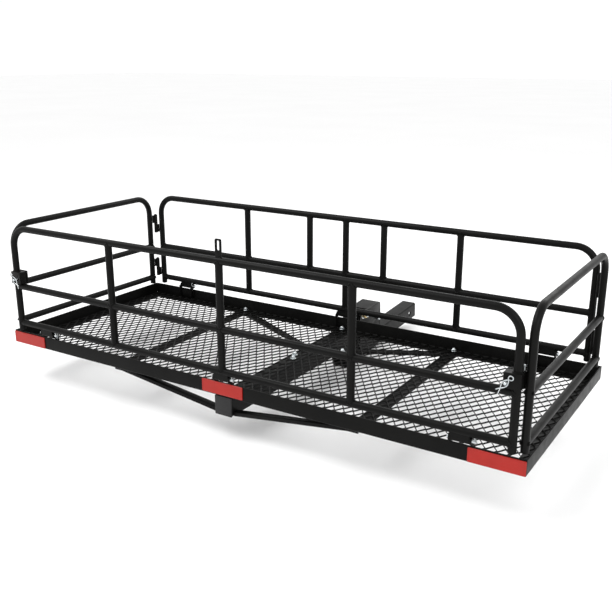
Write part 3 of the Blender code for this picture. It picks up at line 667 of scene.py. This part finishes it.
def latticePiece(row, body, y, postX, uprights, shortUprights, top):
    shape, welds = Shape(), Shape()
    radius, thick = fenceTube["radius"], fenceTube["uprightRadius"]
    sweep(shape, [(-postX + radius * 0.4, y, midRail), (postX - radius * 0.4, y, midRail)],
          roundSection(radius, 32), (0, 0, 1))
    for x in uprights:
        sweep(shape, [(x, y, bottomRail + radius * 0.4), (x, y, top - radius * 0.4)],
              roundSection(thick, 32), (0, 1, 0))
    for x in shortUprights:
        sweep(shape, [(x, y, midRail), (x, y, top - radius * 0.4)], roundSection(thick, 32), (0, 1, 0))
    makePiece(shape, f"{row}_bars", coat, body, (f"{row}_lattice",), 40.0)
    for x in uprights + shortUprights:
        weldRing(welds, (x, y, top), (0, 0, -1), (1, 0, 0), thick, radius)
        weldRing(welds, (x, y, midRail), (0, 0, 1), (1, 0, 0), thick, radius)
        if x in uprights:
            weldRing(welds, (x, y, midRail), (0, 0, -1), (1, 0, 0), thick, radius)
            weldRing(welds, (x, y, bottomRail), (0, 0, 1), (1, 0, 0), thick, radius)
    for height in (bottomRail, midRail):
        for side in (-1, 1):
            weldRing(welds, (side * postX, y, height), (-side, 0, 0), (0, 0, 1), radius, radius)
    makePiece(welds, f"{row}_welds", beadCoat, body, (), 60.0)


for row, body, shorts in (("near_fence", "near_fence", []),
                          ("back_fence", "tray", [-fenceTube["shortUpright"], fenceTube["shortUpright"]])):
    hoopLow, hoopHigh = low(f"{row}_hoop"), high(f"{row}_hoop")
    y = (hoopLow.y + hoopHigh.y) / 2
    postX = hoopHigh.x - fenceTube["radius"]
    top = hoopHigh.z - fenceTube["radius"]
    hoopPiece(row, body, -postX, postX, hoopLow.z, top, lambda a, z, y=y: (a, y, z), (0, 1, 0))
    spots = [-fenceTube["upright"], 0.0, fenceTube["upright"]]
    latticePiece(row, body, y, postX, spots, shorts, top)

tabWelds = Shape()
tabLow, tabHigh = low("fence_tab"), high("fence_tab")
for y in (tabLow.y - 0.0006, tabHigh.y + 0.0006):
    weldLine(tabWelds, (tabLow.x + 0.001, y, tabLow.z - 0.0002), (tabHigh.x - 0.001, y, tabLow.z - 0.0002),
             (0, 0, 1), fenceTube["tabBead"])
makePiece(tabWelds, "fence_tab_welds", beadCoat, "near_fence", (), 60.0)
softenNode("fence_tab", 0.0005)
print("fences made")

# end gates
gateRail = {"radius": fenceTube["radius"], "postInset": 0.0093, "intoPost": 0.004}
for word in ("left", "right"):
    body = f"{word}_gate"
    softenNode(f"{body}_hoop", 0.0004)
    x = middle(f"{body}_bottom_rail").x
    postNear = low(f"{body}_bottom_rail").y - gateRail["postInset"]
    postFar = high(f"{body}_bottom_rail").y + gateRail["postInset"]
    welds = Shape()
    for part, height in (("bottom_rail", bottomRail), ("mid_rail", midRail)):
        shape = Shape()
        sweep(shape, [(x, postNear + gateRail["intoPost"], height),
                      (x, postFar - gateRail["intoPost"], height)],
              roundSection(gateRail["radius"], 32), (0, 0, 1))
        makePiece(shape, f"{body}_{part}_tube", coat, body, (f"{body}_{part}",), 40.0)
        for y, direction in ((postNear, 1), (postFar, -1)):
            weldRing(welds, (x, y, height), (0, direction, 0), (0, 0, 1), gateRail["radius"],
                     gateRail["radius"])
    makePiece(welds, f"{body}_welds", beadCoat, body, (), 60.0)
    for level in ("lower", "upper"):
        softenNode(f"hinge_barrel_{word}_{level}", 0.0005)
        softenNode(f"hinge_pin_{word}_{level}", 0.0005)
print("gates made")

# corner latches: block, pin and bow clip
bowClip = {"wire": 0.0011, "loop": 0.0047, "tilt": math.radians(50), "cross": 0.0023}
keeperStud = {"out": 0.7365, "pastPin": 0.0025, "overBlock": 0.034, "neck": 0.0016, "ball": 0.0030,
              "tall": 0.0136}
latchWeld = {"ring": 0.0100, "bead": 0.0015, "steps": 36}


def bowClipPath(side, pin):
    leg = [(-0.0270, -0.0052), (-0.0215, -0.0030), (-0.0160, -0.0008), (-0.0115, 0.0018), (-0.0070, 0.0042),
           (-0.0025, 0.0053), (0.0020, 0.0050), (0.0060, 0.0034), (0.0090, 0.0014), (0.0115, -0.0008)]
    loop = turnPoints((0.0165, 0.0), bowClip["loop"], -152, 152, 18)
    other = [(s, -t) for s, t in reversed(leg)]
    flat = leg + loop + other[:-1] + [(-0.0225, 0.0040)]
    c, n = math.cos(bowClip["tilt"]), math.sin(bowClip["tilt"])
    path = []
    for k, (s, t) in enumerate(flat):
        depth = bowClip["cross"] * min(max((k - len(leg)) / len(loop), 0.0), 1.0)
        path.append(pin + Vector((side * (s * c - t * n), -depth, s * n + t * c)))
    return path


def smoothPath(path, each=4):
    # a rounder path through the same points
    fine = []
    for k in range(len(path) - 1):
        before, start = path[max(k - 1, 0)], path[k]
        end, after = path[k + 1], path[min(k + 2, len(path) - 1)]
        for j in range(each):
            t = j / each
            fine.append(0.5 * (2 * start + (end - before) * t
                               + (2 * before - 5 * start + 4 * end - after) * t * t
                               + (3 * start - before - 3 * end + after) * t ** 3))
    return fine + [path[-1]]


for side, word in ((-1, "left"), (1, "right")):
    softenNode(f"latch_block_{word}", 0.0012)
    pinLow, pinHigh = low(f"corner_pin_{word}"), high(f"corner_pin_{word}")
    pinAt = middle(f"corner_pin_{word}")
    radius = (pinHigh.z - pinLow.z) / 2
    length = pinHigh.y - pinLow.y
    clipY = middle(f"corner_clip_{word}").y
    groove = clipY - pinLow.y
    shape = Shape()
    profile = [(0, 0), (radius * 0.72, 0), (radius, 0.0010), (radius, groove - 0.0014),
               (radius * 0.80, groove - 0.0012), (radius * 0.80, groove + 0.0012), (radius, groove + 0.0014),
               (radius, length - 0.0014), (radius * 0.7, length), (0, length)]
    turned(shape, profile, (pinAt.x, pinLow.y, pinAt.z), (0, 1, 0), 28)
    makePiece(shape, f"corner_pin_{word}_turned", zinc, f"{word}_corner_pin",
              (f"corner_pin_{word}",), 30.0)
    shape = Shape()
    path = smoothPath(bowClipPath(side, Vector((pinAt.x, clipY, pinAt.z))))
    sweep(shape, path, roundSection(bowClip["wire"], 10), (0, 1, 0))
    makePiece(shape, f"corner_clip_{word}_wire", zinc, f"{word}_corner_pin",
              (f"corner_clip_{word}",), 40.0)
    keeper = Shape()          # short stud with a ball on the gate's tab
    tabTop = low(f"latch_block_{word}").z + keeperStud["overBlock"]
    neck, ball = keeperStud["neck"], keeperStud["ball"]
    turned(keeper, [(0, 0), (neck, 0), (neck, 0.008), (ball * 0.8, 0.0088), (ball, 0.0105),
                    (ball * 0.8, 0.0125), (ball / 3, 0.0134), (0, keeperStud["tall"])],
           (side * keeperStud["out"], pinHigh.y + keeperStud["pastPin"], tabTop), (0, 0, 1), 16)
    makePiece(keeper, f"gate_keeper_{word}", zinc, f"{word}_gate", (), 40.0)
    blockWelds = Shape()
    blockHigh = high(f"latch_block_{word}")
    post = Vector((side * (high("near_fence_hoop").x - fenceTube["radius"]),
                   middle("near_fence_hoop").y, blockHigh.z + 0.0004))
    ring = turnPoints((0, 0), latchWeld["ring"], 0, 360, latchWeld["steps"])[:-1]
    ring = [post + Vector((a, b, 0)) for a, b in ring]
    sweep(blockWelds, ring, roundSection(latchWeld["bead"], 6), (0, 0, 1), closed=True,
          swell=lambda k: 1.0 + 0.2 * math.sin(k * 2.1))
    makePiece(blockWelds, f"latch_welds_{word}", beadCoat, "near_fence", (), 60.0)
print("latches made")

# reflectors
reflector = {"corner": 0.0022, "rim": 0.0022, "lensSink": 0.0006, "edge": 0.0005}


def reflectorPiece(word):
    nodeName = f"reflector_{word}"
    first, last = low(nodeName), high(nodeName)
    centre = middle(nodeName)
    halfWide, halfTall, depth = (last.x - first.x) / 2, (last.z - first.z) / 2, last.y - first.y
    shape = Shape()
    rings = []
    for inset, forward in ((0.0, 0.0), (0.0, depth - reflector["edge"]), (reflector["edge"], depth),
                           (reflector["rim"] - reflector["edge"], depth),
                           (reflector["rim"], depth - reflector["lensSink"])):
        corner = max(reflector["corner"] - inset, 0.0004)
        outline = roundedRectangle(halfWide - inset, halfTall - inset, corner, 4)
        rings.append([Vector((centre.x + a, last.y - forward, centre.z + b)) for a, b in outline])
    count = len(rings[0])
    points = [p for ring in rings for p in ring]
    faces = [tuple(range(count)), tuple(range(4 * count, 5 * count))]
    for r in range(4):
        for k in range(count):
            n = (k + 1) % count
            faces.append((r * count + k, r * count + n, (r + 1) * count + n, (r + 1) * count + k))
    makePiece(shape.add(points, faces), f"{nodeName}_lens", lensRed, "tray", (nodeName,), 30.0)


for word in ("left", "centre", "right"):
    reflectorPiece(word)
print("reflectors made")

# bolts, pins and washers
boltLook = {"domeRadius": 0.0062, "domeTall": 0.0090, "washerRadius": 0.0088, "washerThick": 0.0014,
            "innerScale": 0.92, "headRadius": 0.0068, "headThick": 0.0050, "fromEdge": 0.0170,
            "overSheet": 0.0036}


def domeNut(shape, at, axis=(0, 0, 1), scale=1.0):
    r, tall = boltLook["domeRadius"] * scale, boltLook["domeTall"] * scale
    washer, thick = boltLook["washerRadius"] * scale, boltLook["washerThick"] * scale
    turned(shape, [(0, 0), (washer - 0.0003, 0), (washer, 0.0003), (washer, thick - 0.0003),
                   (washer - 0.0003, thick), (0, thick)], at, axis, 32)
    turned(shape, [(0, thick), (r * 1.02, thick), (r * 1.1, thick + 0.0006), (r * 1.1, thick + tall * 0.42),
                   (r * 0.98, thick + tall * 0.50), (0, thick + tall * 0.50)], at, axis, 6)
    dome = [(r * 0.92 * math.cos(math.radians(a)),
             thick + tall * 0.48 + tall * 0.5 * math.sin(math.radians(a))) for a in range(0, 90, 12)]
    turned(shape, [(0, thick + tall * 0.48)] + dome + [(0, thick + tall * 0.98)], at, axis, 24)
    return shape


def hexHead(shape, at, axis, radius, thick):
    return turned(shape, [(0, 0), (radius * 0.90, 0), (radius, thick * 0.12), (radius, thick * 0.86),
                          (radius * 0.88, thick), (0, thick)], at, axis, 6)


def washerRing(shape, at, axis, radius, hole, thick):
    return turned(shape, [(hole, 0), (radius - 0.0003, 0), (radius, 0.0003), (radius, thick - 0.0003),
                          (radius - 0.0003, thick), (hole, thick), (hole, 0)], at, axis, 32)


def threadEnd(shape, at, axis, radius, length, pitch=0.0015):
    profile, height = [(0, 0), (radius, 0)], 0.0
    while height < length - pitch * 1.5:
        profile += [(radius, height + pitch * 0.25), (radius * 0.88, height + pitch * 0.55),
                    (radius * 0.88, height + pitch * 0.7), (radius, height + pitch)]
        height += pitch
    return turned(shape, profile + [(radius * 0.8, length), (0, length)], at, axis, 24)


floorTop = low("floor_mesh_left").z + boltLook["overSheet"]
trayBolts = Shape()
flangeY = (backFace - boltLook["fromEdge"], nearFace + boltLook["fromEdge"])
for x in (middle("cross_bar_left").x, 0.0, middle("cross_bar_right").x):
    for y in flangeY:
        domeNut(trayBolts, (x, y, floorTop))
for x, y in ((0.000, 0.023), (0.012, -0.004), (0.100, 0.115)):
    domeNut(trayBolts, (x, trayMiddle.y + y, floorTop), scale=boltLook["innerScale"])
for x in (middle("cross_bar_left").x, middle("cross_bar_right").x):
    for y in flangeY:         # heads under the flange and the braces
        hexHead(trayBolts, (x + 0.010, y, trayUnder - 0.0004), (0, 0, -1), boltLook["headRadius"],
                boltLook["headThick"])
makePiece(trayBolts, "tray_bolts", zinc, "tray", (), 35.0)


hairClip = {"wire": 0.0011, "loop": 0.0050, "loopAt": 0.012}
basePin = {"radius": 0.0035, "headRadius": 0.0058, "headThick": 0.0036, "length": 0.0630, "clipAt": 0.0595,
           "beforeEar": 0.0045}


def hairpin(shape, at, along, down):
    # R-shaped clip through the end of a pin: straight leg, round loop, waved leg
    across = Vector(along).cross(Vector(down)).normalized()
    down = Vector(down).normalized()
    loop, loopAt = hairClip["loop"], hairClip["loopAt"]
    flat = [(-0.020, 0.0), (-0.010, 0.0), (0.006, 0.0), (loopAt, 0.0)]
    flat += [(loopAt + loop * math.sin(math.radians(a)), loop - loop * math.cos(math.radians(a)))
             for a in range(30, 200, 18)]
    flat += [(0.0075, 0.0088), (0.0030, 0.0060), (-0.0010, 0.0049), (-0.0055, 0.0062), (-0.0100, 0.0085),
             (-0.0135, 0.0105)]
    path = smoothPath([Vector(at) - down * s + across * t for s, t in flat], 3)
    return sweep(shape, path, roundSection(hairClip["wire"], 8), along)


basePins = Shape()
for word in ("left", "centre", "right"):
    nearPin, backEar = middle(f"near_base_pin_{word}"), middle(f"back_bracket_{word}")
    tail = high(f"near_base_pin_{word}").x - 0.0035
    hairpin(basePins, (tail, nearPin.y, nearPin.z), (1, 0, 0), (0, 0.35, -1))
    axisY = middle("back_fence_hoop").y
    axisZ = nearPin.z
    away = -1 if word == "right" else 1      # side the pin is pushed in from
    start = backEar.x - away * (backEar.x - low(f"back_bracket_{word}").x + basePin["beforeEar"])
    radius, head, length = basePin["radius"], basePin["headRadius"], basePin["length"]
    turned(basePins, [(0, 0), (head - 0.0008, 0), (head, 0.0008), (head, basePin["headThick"] - 0.0006),
                      (radius, basePin["headThick"]), (radius, length - 0.0010),
                      (radius - 0.0009, length), (0, length)], (start, axisY, axisZ), (away, 0, 0), 20)
    hairpin(basePins, (start + away * basePin["clipAt"], axisY, axisZ), (1, 0, 0), (0, 0.9, -0.4))
makePiece(basePins, "base_pins_and_clips", zinc, "tray", (), 35.0)

pivotLook = {"washerRadius": 0.0135, "washerThick": 0.0018, "hole": 0.0063, "headRadius": 0.0112,
             "headThick": 0.0058, "boltRadius": 0.0060, "nutStart": 0.0020}
pivot = middle("pivot_nut")
plateOut = high("fold_bracket").x
pivotSet = Shape()
for away in (1, -1):
    washerRing(pivotSet, (away * (plateOut + 0.0001), pivot.y, pivot.z), (away, 0, 0),
               pivotLook["washerRadius"], pivotLook["hole"], pivotLook["washerThick"])
hexHead(pivotSet, (-plateOut - pivotLook["nutStart"], pivot.y, pivot.z), (-1, 0, 0),
        pivotLook["headRadius"], pivotLook["headThick"])
threadEnd(pivotSet, (-plateOut - 0.001, pivot.y, pivot.z), (1, 0, 0), pivotLook["boltRadius"],
          high("pivot_bolt").x + plateOut + 0.001)
makePiece(pivotSet, "pivot_bolt_turned", zinc, "shank", ("pivot_bolt",), 30.0)
nutShape = Shape()
nutStart = plateOut + pivotLook["nutStart"]
turned(nutShape, [(0.0062, 0), (0.0100, 0), (0.0112, 0.0012), (0.0112, 0.0072), (0.0098, 0.0082),
                  (0.0062, 0.0082), (0.0062, 0)], (nutStart, pivot.y, pivot.z), (1, 0, 0), 6)
turned(nutShape, [(0.0062, 0.0078), (0.0092, 0.0078), (0.0092, 0.0098), (0.0084, 0.0106), (0.0062, 0.0106),
                  (0.0062, 0.0078)], (nutStart, pivot.y, pivot.z), (1, 0, 0), 28)
makePiece(nutShape, "pivot_nut_turned", yellowZinc, "shank", ("pivot_nut",), 30.0)
softenNode("fold_lock_pin", 0.0006)
print("hardware made")

# studio: pale floor, soft boxes and camera
studio = {
    "azimuth": 32.21, "elevation": 17.07, "distance": 2.2190,
    "aim": Vector((0.0411, 0.016, 0.1574)),       # from the tray's middle, at its underside
    "lens": 48.31,
    "floorBelow": 0.0020,
    "world": 1.02,
    "floorReach": 30.0,
    "sensor": 36.0,
    # name: place from the tray's middle, width and height, power
    "lights": {
        "keyLight": ((-1.6, -1.2, 3.0), (2.4, 1.6), 60),
        "fillLight": ((2.6, -1.6, 1.8), (1.6, 1.6), 22),
        "backLight": ((0.4, 2.8, 2.2), (2.6, 1.0), 26),
    },
}
scene = bpy.context.scene
groundLevel = cadBox[0][2] - studio["floorBelow"]
groundMesh = bpy.data.meshes.new("studio_floor")
reach = studio["floorReach"]
groundMesh.from_pydata([(-reach, -reach, groundLevel), (reach, -reach, groundLevel),
                        (reach, reach, groundLevel), (-reach, reach, groundLevel)], [], [(0, 1, 2, 3)])
ground = bpy.data.objects.new("studio_floor", groundMesh)
scene.collection.objects.link(ground)
floorFinish = Finish("studioFloor", specular=0.1)
floorFinish.wire(colour=floorFinish.ramp(floorFinish.noise(0.8, 2.0), [(0.3, (0.95, 0.95, 0.95)),
                                                                     (0.7, (0.97, 0.97, 0.97))]))
floorFinish.shader.inputs["Roughness"].default_value = 0.9
groundMesh.materials.append(floorFinish.material)

world = bpy.data.worlds.new("studioWorld")
world.use_nodes = True
world.node_tree.nodes["Background"].inputs["Color"].default_value = (1.0, 1.0, 1.0, 1.0)
world.node_tree.nodes["Background"].inputs["Strength"].default_value = studio["world"]
scene.world = world


def softBox(name, at, size, power):
    light = bpy.data.lights.new(name, "AREA")
    light.shape, light.size, light.size_y, light.energy = "RECTANGLE", size[0], size[1], power
    lamp = bpy.data.objects.new(name, light)
    lamp.location = trayMiddle + Vector(at)
    lamp.rotation_euler = (trayMiddle - lamp.location).to_track_quat("-Z", "Y").to_euler()
    scene.collection.objects.link(lamp)


for name, (at, size, power) in studio["lights"].items():
    softBox(name, at, size, power)

cameraData = bpy.data.cameras.new("camera")
cameraData.lens = studio["lens"]
cameraData.sensor_width = studio["sensor"]
camera = bpy.data.objects.new("camera", cameraData)
azimuth, elevation = math.radians(studio["azimuth"]), math.radians(studio["elevation"])
outward = Vector((math.sin(azimuth) * math.cos(elevation), -math.cos(azimuth) * math.cos(elevation),
                  math.sin(elevation)))
target = trayMiddle + studio["aim"]
camera.location = target + outward * studio["distance"]
camera.rotation_euler = (-outward).to_track_quat("-Z", "Y").to_euler()
cameraData.clip_end = 50.0
scene.collection.objects.link(camera)
scene.camera = camera
scene.view_settings.view_transform = "Standard"
scene.view_settings.look = "None"
print("studio made")
